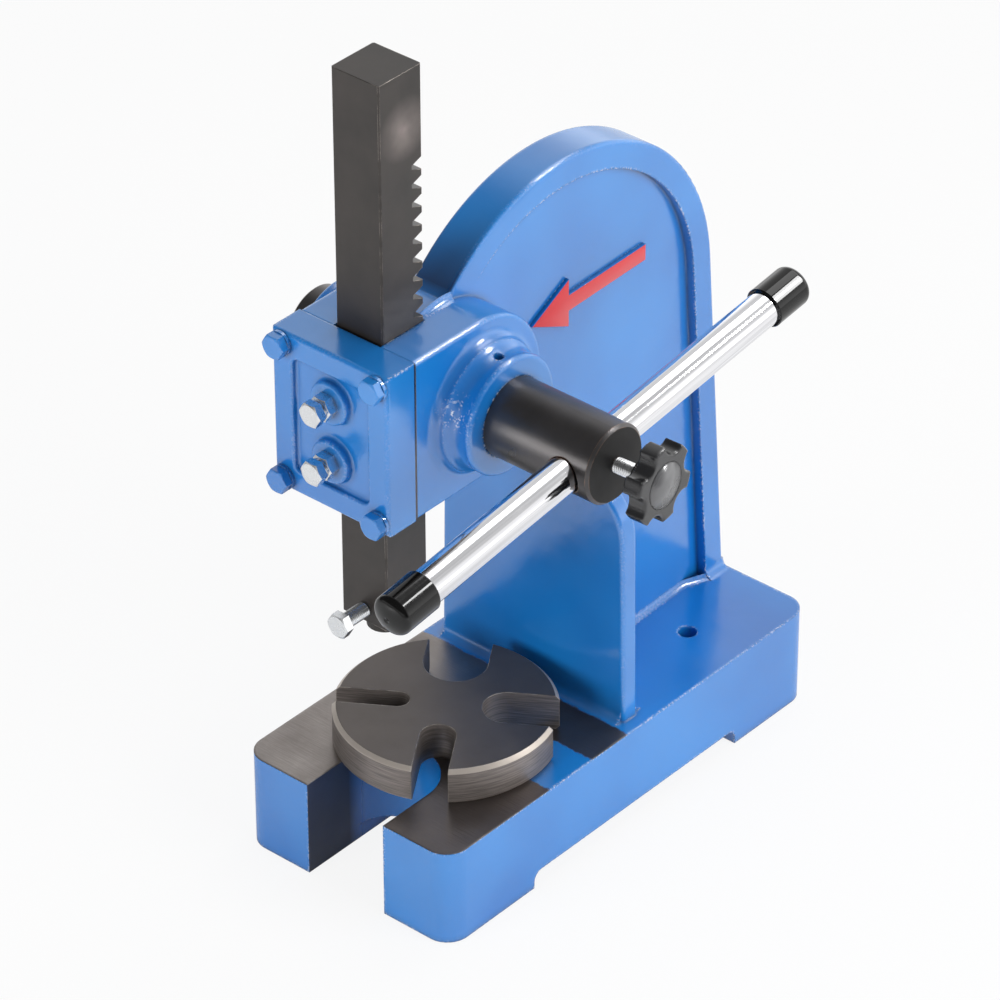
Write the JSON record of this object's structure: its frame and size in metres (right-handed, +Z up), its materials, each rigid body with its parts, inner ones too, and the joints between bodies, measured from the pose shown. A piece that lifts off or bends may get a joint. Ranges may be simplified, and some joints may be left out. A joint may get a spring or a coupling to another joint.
{
  "type": "arbor press",
  "caption": "Bench arbor press: a rack-toothed square ram driven by a pinion shaft and a sliding lever bar, over a slotted turntable plate on a footed cast base.",
  "frame": {"origin": "on the bench, midway between the two bench bolt holes", "axes": "+Z up along the ram's travel, -Y towards the operator, +X to the side with the lever"},
  "size_m": [0.2405, 0.3985, 0.5045],
  "materials": {
    "blue_enamel": "gloss",
    "blue_bolts": "gloss",
    "zinc": "bright zinc",
    "black_steel": "oiled black oxide",
    "black_iron": "machined and oiled",
    "chrome": "bright chrome",
    "black_vinyl": "gloss",
    "black_plastic": "satin",
    "grey_plastic": "satin",
    "bright_steel": "ground"
  },
  "bodies": {
    "frame_body": {"frame": "blue_enamel", "ram_cover": "blue_enamel", "cover_bolts": "blue_bolts", "cover_washers": "blue_bolts", "gib_screws": "zinc", "gib_lock_nuts": "zinc", "gib_strip": "bright_steel", "plate_pivot_pin": "bright_steel"},
    "ram_body": {"ram": "black_steel", "ram_nose": "bright_steel", "nose_bolt": "zinc"},
    "pinion_body": {"pinion_shaft": "black_steel", "shaft_collar": "black_steel", "collar_screw": "bright_steel"},
    "lever_body": {"lever_bar": "chrome", "lever_cap_front": "black_vinyl", "lever_cap_rear": "black_vinyl"},
    "knob_body": {"lock_knob": "black_plastic", "knob_stud": "zinc", "knob_cap": "grey_plastic"},
    "plate_body": {"arbor_plate": "black_iron"}
  },
  "joints": [
    {"name": "pinion_turn", "type": "hinge", "parent": "frame_body", "child": "pinion_body", "pos_m": [0, -0.17702, 0.304], "axis": [1, 0, 0], "range_deg": [-77, 236.4]},
    {"name": "ram_slide", "type": "slide", "parent": "frame_body", "child": "ram_body", "axis": [0, 0, 1], "range_m": [-0.0795, 0.026]},
    {"name": "lever_slide", "type": "slide", "parent": "pinion_body", "child": "lever_body", "axis": [0, 0.9912, 0.1323], "range_m": [-0.12, 0.106]},
    {"name": "lock_knob_turn", "type": "hinge", "parent": "pinion_body", "child": "knob_body", "pos_m": [0.1132, -0.17702, 0.304], "axis": [0.9989, 0.0471, 0], "range_deg": [0, 360]},
    {"name": "plate_turn", "type": "hinge", "parent": "frame_body", "child": "plate_body", "pos_m": [0, -0.162, 0.0825], "axis": [0, 0, 1], "continuous": true}
  ],
  "couplings": [
    {"joint": "ram_slide", "follows": "pinion_turn", "m_per_rad": -0.01925}
  ]
}
